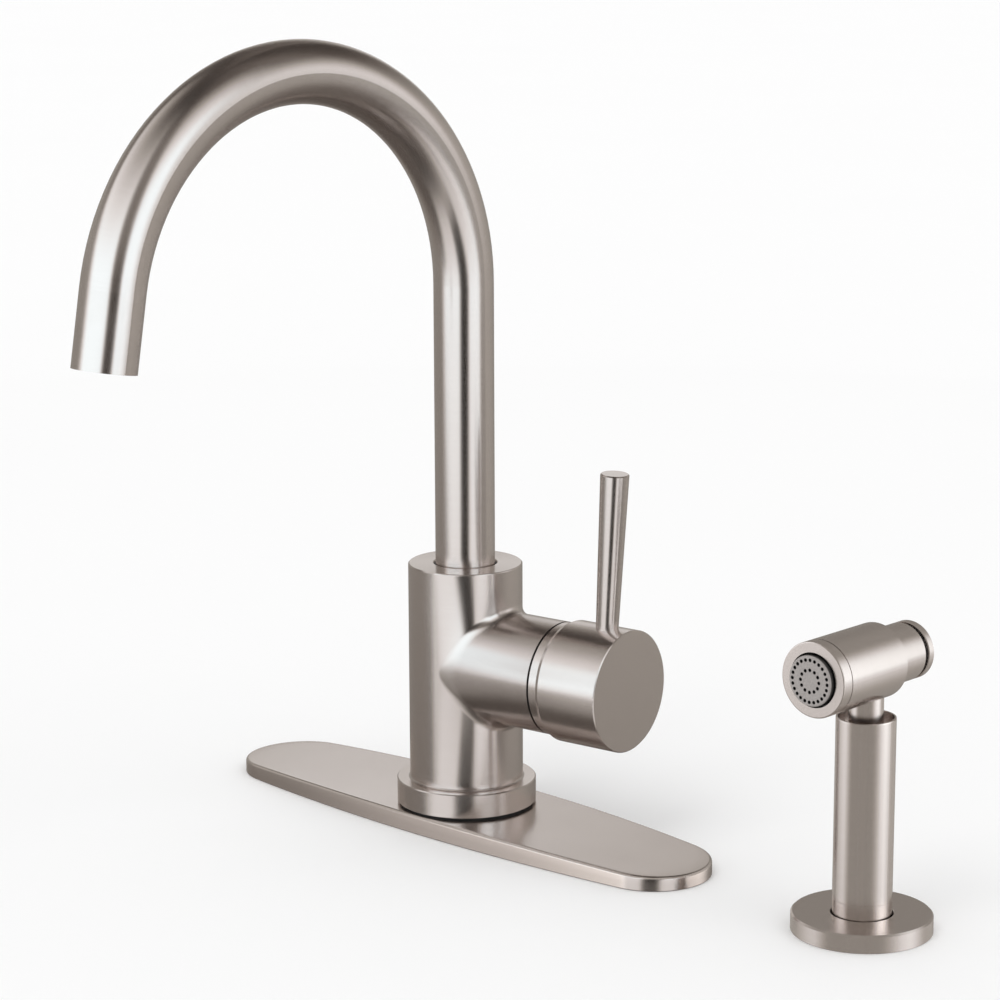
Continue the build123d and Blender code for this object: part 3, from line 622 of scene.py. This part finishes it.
def blended_casting():
    """The solid's mesh, made finer at the crotch and moved to the blend in the photograph."""
    to_body = np.array(Matrix.Rotation(-BODY_YAW, 3, "Z"))
    mesh = nodes["faucet_body"].data.copy()
    mesh.name = "body_casting"
    bm = bmesh.new()
    bm.from_mesh(mesh)
    bmesh.ops.remove_doubles(bm, verts=bm.verts, dist=2e-6)

    def local(vectors):
        return (np.array([tuple(v) for v in vectors], float).reshape(-1, 3) / MM) @ to_body.T

    def on_skin(points):
        """Which points are on the solid's outer skin, near the branch."""
        column, branch, _, _ = skin_blend(points)
        crotch = (np.minimum(column, branch) > -0.05) & (np.maximum(column, branch) < SOLID_BLEND)
        sides = (np.abs(column) < 0.02) | ((np.abs(branch) < 0.02) & (column > 0))
        zone = (points[:, 0] > SKIN_FROM_X) & (points[:, 0] < BRANCH_END_X)
        return zone & (np.abs(points[:, 2] - BRANCH_Z) < BLEND_HEIGHT) & (crotch | sides)

    for _ in range(9):  # each round halves the long edges near the crotch
        spots = on_skin(local([v.co for v in bm.verts]))
        bm.verts.index_update()
        edges = [e for e in bm.edges if spots[e.verts[0].index] and spots[e.verts[1].index]
                 and e.calc_length() > BLEND_EDGE * MM]
        if not edges:
            break
        near = np.zeros(len(edges), bool)
        for share in (0.2, 0.5, 0.8):
            spot = local([e.verts[0].co.lerp(e.verts[1].co, share) for e in edges])
            column, branch, _, radius = skin_blend(spot)
            near |= (column < radius + 1) & (branch < radius + 1)
        edges = [e for e, close in zip(edges, near) if close]
        if not edges:
            break
        bmesh.ops.subdivide_edges(bm, edges=edges, cuts=1, use_grid_fill=True, use_single_edge=True)
        bmesh.ops.triangulate(bm, faces=[f for f in bm.faces if len(f.verts) > 3])

    bm.verts.ensure_lookup_table()
    points = local([v.co for v in bm.verts])
    moved = on_skin(points)
    skin = points[moved]
    for _ in range(8):  # Newton's steps along the slope
        slope = skin_slope(skin)
        skin -= slope * (skin_value(skin) / (slope ** 2).sum(1))[:, None]
    for index, place in zip(np.nonzero(moved)[0], skin @ to_body * MM):
        bm.verts[index].co = place
    finish_mesh(bm, mesh)
    mesh.normals_split_custom_set(skin_normals(mesh, local, to_body))
    piece = new_object("body_casting", mesh)
    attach(piece, "root")
    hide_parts("faucet_body")


# ---- the deck plate, with the tighter edge that the photograph shows --------------

PLATE_LENGTH = 256.0  # all of these are in millimetres
PLATE_WIDTH = 61.0
PLATE_END_RADIUS = 24.0
PLATE_HEIGHT = 8.0
PLATE_CROWN = 2.2  # the ends are this much lower than the middle
PLATE_WALL = 2.4
PLATE_EDGE = 1.3  # radius of the round along the top
PLATE_FOOT = 0.2  # chamfer along the bottom
PLATE_SEAT = (28.4, 7.9)  # radius and height of the flat under the base ring
PLATE_BORE = 16.9
PLATE_BOSS = (21.5, 2.5)  # radius and height of the boss round the bore, underneath
ARC_STEPS = 72
EDGE_STEPS = 8
TOP_LOOPS = 16
CEILING_LOOPS = 8


def plate_outline():
    """Points and outward normals of four tangent arcs."""
    reach = PLATE_LENGTH / 2 - PLATE_END_RADIUS
    wide = PLATE_WIDTH / 2
    bow = (reach ** 2 / (wide - PLATE_END_RADIUS) + PLATE_END_RADIUS + wide) / 2
    meet = math.atan2(bow - wide, reach)  # angle of the normal where a side meets an end
    arcs = [
        (Vector((reach, 0)), PLATE_END_RADIUS, -meet, meet),
        (Vector((0, wide - bow)), bow, meet, math.pi - meet),
        (Vector((-reach, 0)), PLATE_END_RADIUS, math.pi - meet, math.pi + meet),
        (Vector((0, bow - wide)), bow, math.pi + meet, 2 * math.pi - meet),
    ]
    outline = []
    for centre, radius, start, end in arcs:
        for i in range(ARC_STEPS):
            angle = start + (end - start) * i / ARC_STEPS
            normal = Vector((math.cos(angle), math.sin(angle)))
            outline.append((centre + normal * radius, normal))
    return outline


def add_plate():
    """The whole plate as one closed skin, from its foot over the top and back underneath."""
    outline = plate_outline()

    def top(x):
        return PLATE_HEIGHT - PLATE_CROWN * (2 * x / PLATE_LENGTH) ** 2

    def seat(x):
        return min(PLATE_SEAT[1], top(x))

    def boss(x):
        return PLATE_BOSS[1]

    def ceiling(x):
        return top(x) - PLATE_WALL

    def oval(inset, height):
        """The outline moved inwards, at a height that depends on x."""
        return [(*(point - normal * inset), height(point.x)) for point, normal in outline]

    def circle(radius, height):
        spots = [point.normalized() * radius for point, _ in outline]
        return [(*spot, height(spot.x)) for spot in spots]

    def between(first, second, count, height):
        """The loops that divide the way from one loop to another into count steps."""
        loops = []
        for k in range(1, count):
            loop = []
            for a, b in zip(first, second):
                x, y = (a[i] + (b[i] - a[i]) * k / count for i in (0, 1))
                loop.append((x, y, height(x)))
            loops.append(loop)
        return loops

    loops = [oval(PLATE_FOOT, lambda x: 0.0), oval(0.0, lambda x: PLATE_FOOT),
             oval(0.0, lambda x: (PLATE_FOOT + top(x) - PLATE_EDGE) / 2)]
    for k in range(EDGE_STEPS + 1):
        angle = math.pi / 2 * k / EDGE_STEPS
        drop = PLATE_EDGE * (1 - math.sin(angle))
        loops.append(oval(PLATE_EDGE * (1 - math.cos(angle)), lambda x: top(x) - drop))
    rim = circle(PLATE_SEAT[0], top)
    loops += between(loops[-1], rim, TOP_LOOPS, top)
    loops += [rim, circle(PLATE_SEAT[0] - 0.01, seat), circle(PLATE_BORE, seat),
              circle(PLATE_BORE, boss), circle(PLATE_BOSS[0], boss), circle(PLATE_BOSS[0], ceiling)]
    pocket = oval(PLATE_WALL, ceiling)
    loops += between(loops[-1], pocket, CEILING_LOOPS, ceiling)
    loops += [pocket, oval(PLATE_WALL, lambda x: 0.0)]

    mesh = bpy.data.meshes.new("plate_shell")
    bm = bmesh.new()
    rings = [[bm.verts.new(Vector(spot) * MM) for spot in loop] for loop in loops]
    for upper, lower in zip(rings, rings[1:] + rings[:1]):
        for i in range(len(upper)):
            j = (i + 1) % len(upper)
            bm.faces.new((upper[i], upper[j], lower[j], lower[i]))
    bmesh.ops.recalc_face_normals(bm, faces=bm.faces)
    finish_mesh(bm, mesh)
    mesh.materials.append(nodes["deck_plate"].data.materials[0])
    piece = new_object("plate_shell", mesh)
    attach(piece, "root")
    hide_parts("deck_plate")


# ---- stage: pale floor, soft light and a studio seen only in reflections ---------

ROOM_RADIUS = 1.15
SHELL_GAP = 0.01  # each shell of lights stands this much further in than the last
ROOM_CENTRE = (0.0, 0.0, 0.12)
WHITE = rgb(1.0, 1.0, 1.0)
FAUCET_WHITE = rgb(1.0, 1.14, 1.2)  # its softboxes are a little cooler than the background
SPRAYER_WHITE = rgb(1.0, 1.05, 1.06)
TABLE_WHITE = (1.0, 0.97, 0.94)
PLATE_GREY = 0.6
SPRAYER_NAMES = ("spray_", "holder_", "grip_", "face_", "button_", "valve_", "hose_")
FLOOR_SIZE = 40.0
FLOOR_DROP = 0.2 * MM  # keeps it clear of the undersides that stand on the deck
WORLD_LIGHT = 0.84  # the world's strength on matt surfaces, where its picture is at 1


def add_floor():
    mesh = bpy.data.meshes.new("floor")
    corners = [(-1, -1), (1, -1), (1, 1), (-1, 1)]
    mesh.from_pydata([(x * FLOOR_SIZE, y * FLOOR_SIZE, 0) for x, y in corners], [], [(0, 1, 2, 3)])
    floor = new_object("floor", mesh)
    floor.location.z = -FLOOR_DROP
    material, t = new_material("floor")
    tone = t.mix(t.noise(t.place(), 3.0), rgb(0.93, 0.93, 0.93), rgb(0.94, 0.94, 0.94))
    principled(t, Base_Color=tone, Roughness=0.9, Specular_IOR_Level=0.1)
    mesh.materials.append(material)
    floor.visible_glossy = False


# The studio is painted on shells that stand still round the object. A point of them is named by
# side, its angle from the photograph's camera seen from above, and by height, its angle above the
# object, both in degrees. A tone is a brightness against the white background's 1.

def view_angles(t):
    """Side and height of a point of the room."""
    x, y, z = t.split(t.vector("NORMALIZE", t.place()))
    height = t.times(t.math("ARCSINE", z), 180 / math.pi)
    turn = t.times(t.math("ARCTAN2", x, t.times(y, -1.0)), 180 / math.pi)
    side = t.math("WRAP", t.minus(turn, math.degrees(AZIMUTH)), 180.0, -180.0)
    return side, height


def faucet_tone(t, side, height):
    """The studio round the faucet.

    Two softboxes stand left and right of a narrow black flag, a pale wall runs round behind the
    object, and the floor side and the ceiling are dim.
    """
    turn = t.math("WRAP", side, 360.0, 0.0)
    spread = t.math("ABSOLUTE", side)

    # the wall: its upper and lower parts, then how it fades round the sides and upwards
    back = t.times(t.ramp(turn, 158, 172), t.ramp(turn, 186, 204, 1.0, 0.0))
    high = t.larger(t.ramp(turn, 94, 116, 1.0, 0.12), t.times(back, 0.94))
    high = t.times(high, t.ramp(height, -4, 18, 0.0, 0.62))
    low = t.times(t.ramp(turn, 110, 165, 1.0, 0.7), t.ramp(turn, 165, 195, 1.0, 1.18))
    low = t.times(low, t.ramp(height, -40, -8, 0.18, 0.46))
    wall = t.times(t.plus(low, high), t.ramp(spread, 62, 95, 0.6, 1.0))
    wall = t.times(wall, t.ramp(turn, 168, 186, 1.0, 0.86))
    wall = t.times(wall, t.ramp(height, 16, t.ramp(spread, 100, 170, 52, 48), 1.0, 0.18))

    # the softboxes, whose edges lean with the height
    shift = t.plus(t.ramp(height, -14, -4, -7.0, 12.0), t.ramp(height, 0, 8, 0.0, -6.0))
    shift = t.plus(shift, t.ramp(height, 14, 56, 0.0, 52.0))
    left = t.times(t.ramp(t.plus(side, shift), -92, -60), t.math("LESS_THAN", side, 0.0))
    right = t.ramp(side, 57, t.ramp(height, -14, 3, 69, 82), 1.0, 0.0)
    right = t.times(right, t.math("GREATER_THAN", side, 0.0))
    level = t.times(t.ramp(height, -30, 8, 0.86, 1.42), t.ramp(height, 18, 82, 1.0, 0.0))
    boxes = t.times(t.plus(left, right), t.times(level, t.ramp(height, -60, -30)))
    tone = t.larger(wall, boxes)

    # the flag lets all through outside its edges, and a little where it fades upwards
    lean = t.minus(side, t.ramp(height, -24, 10, 0.0, 10.0))
    flag = t.larger(t.ramp(lean, -25.5, -14.5, 1.0, 0.0), t.ramp(lean, 6, 17))
    flag = t.larger(flag, t.ramp(height, -36, -28, 1.0, 0.0))
    dark = t.plus(t.ramp(height, 4, 24, 0.02, 0.2), t.ramp(height, 34, 60, 0.0, 0.2))
    return t.times(tone, t.plus(t.times(flag, t.minus(1.0, dark)), dark))


def sprayer_tone(t, side, height):
    """The studio round the sprayer: a strip light at each side of an even grey.

    The right strip is narrower and dimmer at its foot, which the upright grip reflects.
    """
    upright = t.times(t.ramp(height, -50, -2), t.ramp(height, 18, 46, 1.0, 0.0))
    right = t.times(t.ramp(side, 30, 72), t.ramp(side, 66, 114, 1.86, 0.0))
    foot = t.times(t.ramp(side, 24, 72), t.ramp(side, 68, 104, 1.2, 0.24))
    foot = t.times(foot, t.ramp(side, 120, 160, 1.0, 0.0))
    high = t.ramp(height, -12, -4)
    right = t.plus(t.times(right, high), t.times(foot, t.minus(1.0, high)))
    left = t.times(t.ramp(side, -82, -48, 1.0, 0.0), t.ramp(side, -140, -84, 0.3, 1.0))
    grey = t.ramp(t.math("ABSOLUTE", side), 120, 160, 0.37, 0.31)
    return t.plus(t.times(t.plus(right, left), upright), grey)


def plate_tone(t, faucet, side, height):
    """The faucet's studio as the plate has it.

    An even grey hides the softboxes and the flag from its flat top, and the wall behind gets
    brighter from right to left.
    """
    spread = t.math("ABSOLUTE", side)
    level = t.times(t.ramp(height, 3, 9), t.ramp(height, 36, 52, 1.0, 0.0))
    front = t.times(t.ramp(spread, 110, 135, 1.0, 0.0), level)
    turn = t.math("WRAP", side, 360.0, 0.0)
    slope = t.times(t.ramp(turn, 171, 188, -0.15, 0.25), t.ramp(spread, 140, 160))
    rest = t.times(faucet, t.minus(t.plus(slope, 1.0), front))
    return t.plus(rest, t.times(front, PLATE_GREY))


def table_tone(t, side, height):
    """The white table in front of the plate, which its edge reflects."""
    low = t.times(t.ramp(height, -34, -24), t.ramp(height, -6, -1, 1.0, 0.0))
    left = t.times(t.ramp(side, -108, -72), t.ramp(side, -60, -46, 1.0, 0.0))
    right = t.times(t.ramp(side, 44, 56, 0.0, 1.4), t.ramp(side, 92, 130, 1.0, 0.0))
    return t.times(t.times(low, t.plus(left, right)), 0.58)


def tinted(t, tone, white):
    """Colour of a tone: warm when dim, then neutral, and the given white where it is brightest."""
    warm = t.mix(t.ramp(tone, 0.05, 0.4), rgb(1.0, 0.86, 0.76), rgb(1.0, 0.955, 0.88))
    tint = t.mix(t.ramp(tone, 0.4, 1.0), warm, WHITE)
    tint = t.mix(t.ramp(tone, 1.1, 1.45), tint, white)
    return t.vector("MULTIPLY", tint, t.gray(tone))


def shared_tint(t, tones):
    """What the scrim lets through for all: the dimmest of the tones."""
    dimmest = t.smaller(t.smaller(tones[0], tones[1]), t.smaller(tones[2], 1.0))
    return tinted(t, dimmest, FAUCET_WHITE)


def paint_scrim(t, tones, clear, glow):
    t.put(clear.inputs["Color"], shared_tint(t, tones))
    t.put(glow.inputs["Strength"], 0.0)


def paint_lights(number, white, table=False):
    """Lights that bring what the scrim lets through up to the tone of that number."""
    def paint(t, tones, clear, glow):
        t.put(clear.inputs["Color"], WHITE)
        more = t.vector("SUBTRACT", tinted(t, tones[number], white), shared_tint(t, tones))
        more = t.vector("MAXIMUM", more, (0.0, 0.0, 0.0))
        if table:
            shine = t.gray(table_tone(t, *view_angles(t)))
            more = t.vector("ADD", more, t.vector("MULTIPLY", shine, TABLE_WHITE))
        t.put(glow.inputs["Color"], more)
    return paint


def add_shell(name, place, receivers, paint):
    """Sphere round the studio that only reflections see, clear but for its tint or glow."""
    bpy.ops.mesh.primitive_uv_sphere_add(segments=64, ring_count=32, location=ROOM_CENTRE,
                                         radius=ROOM_RADIUS - place * SHELL_GAP)
    shell = bpy.context.object
    shell.name = name
    material, t = new_material(name)
    clear = t.add("ShaderNodeBsdfTransparent")
    glow = t.add("ShaderNodeEmission")
    side, height = view_angles(t)
    faucet = faucet_tone(t, side, height)
    tones = faucet, sprayer_tone(t, side, height), plate_tone(t, faucet, side, height)
    paint(t, tones, clear, glow)
    both = t.add("ShaderNodeAddShader")
    t.put(both.inputs[0], clear.outputs[0])
    t.put(both.inputs[1], glow.outputs[0])
    output = t.add("ShaderNodeOutputMaterial")
    t.put(output.inputs["Surface"], both.outputs[0])
    material.cycles.emission_sampling = "NONE"
    shell.data.materials.append(material)
    for ray in ("camera", "diffuse", "shadow", "transmission", "volume_scatter"):
        setattr(shell, "visible_" + ray, False)
    if receivers:
        group = bpy.data.collections.new(name + "_receivers")
        for piece in receivers:
            group.objects.link(piece)
        shell.light_linking.receiver_collection = group


def add_room():
    """A scrim in front of the white background, then lights for the faucet, sprayer and plate."""
    pieces = [piece for piece in bpy.data.objects if piece.type == "MESH"]
    plate = bpy.data.objects["plate_shell"]
    sprayer = [piece for piece in pieces if piece.name.startswith(SPRAYER_NAMES)]
    faucet = [piece for piece in pieces if piece not in sprayer and piece != plate]
    add_shell("studio_scrim", 0, [], paint_scrim)
    add_shell("faucet_lights", 1, faucet, paint_lights(0, FAUCET_WHITE))
    add_shell("sprayer_lights", 2, sprayer, paint_lights(1, SPRAYER_WHITE))
    add_shell("plate_lights", 3, [plate], paint_lights(2, FAUCET_WHITE, table=True))


def add_sun(name, azimuth, elevation, strength, softness):
    """Soft sun from azimuth, elevation, in degrees, that reflections don't see."""
    data = bpy.data.lights.new(name, "SUN")
    data.energy = strength
    data.angle = math.radians(softness)
    lamp = new_object(name, data)
    back = direction(math.radians(azimuth), math.radians(elevation))
    lamp.rotation_mode = "QUATERNION"
    lamp.rotation_quaternion = back.to_track_quat("Z", "Y")
    lamp.visible_glossy = False


def add_world():
    world = bpy.data.worlds.new("studio")
    bpy.context.scene.world = world
    world.use_nodes = True
    t = Tree(world.node_tree)
    path = t.add("ShaderNodeLightPath").outputs
    through = t.larger(path["Is Glossy Ray"], path["Is Transmission Ray"])
    seen = t.larger(path["Is Camera Ray"], through)
    shade = t.add("ShaderNodeBackground")
    t.put(shade.inputs["Color"], WHITE)
    t.put(shade.inputs["Strength"], t.ramp(seen, 0.0, 1.0, WORLD_LIGHT, 1.0))
    output = t.add("ShaderNodeOutputWorld")
    t.put(output.inputs["Surface"], shade.outputs[0])


add_camera()
dress_cad_nodes()
add_threads()
add_springs()
blended_casting()
add_plate()
add_floor()
add_room()
add_sun("key", 5, 55, 0.55, 30)
add_sun("fill", 95, 50, 0.3, 40)
add_world()
bpy.context.scene.view_settings.view_transform = "Standard"
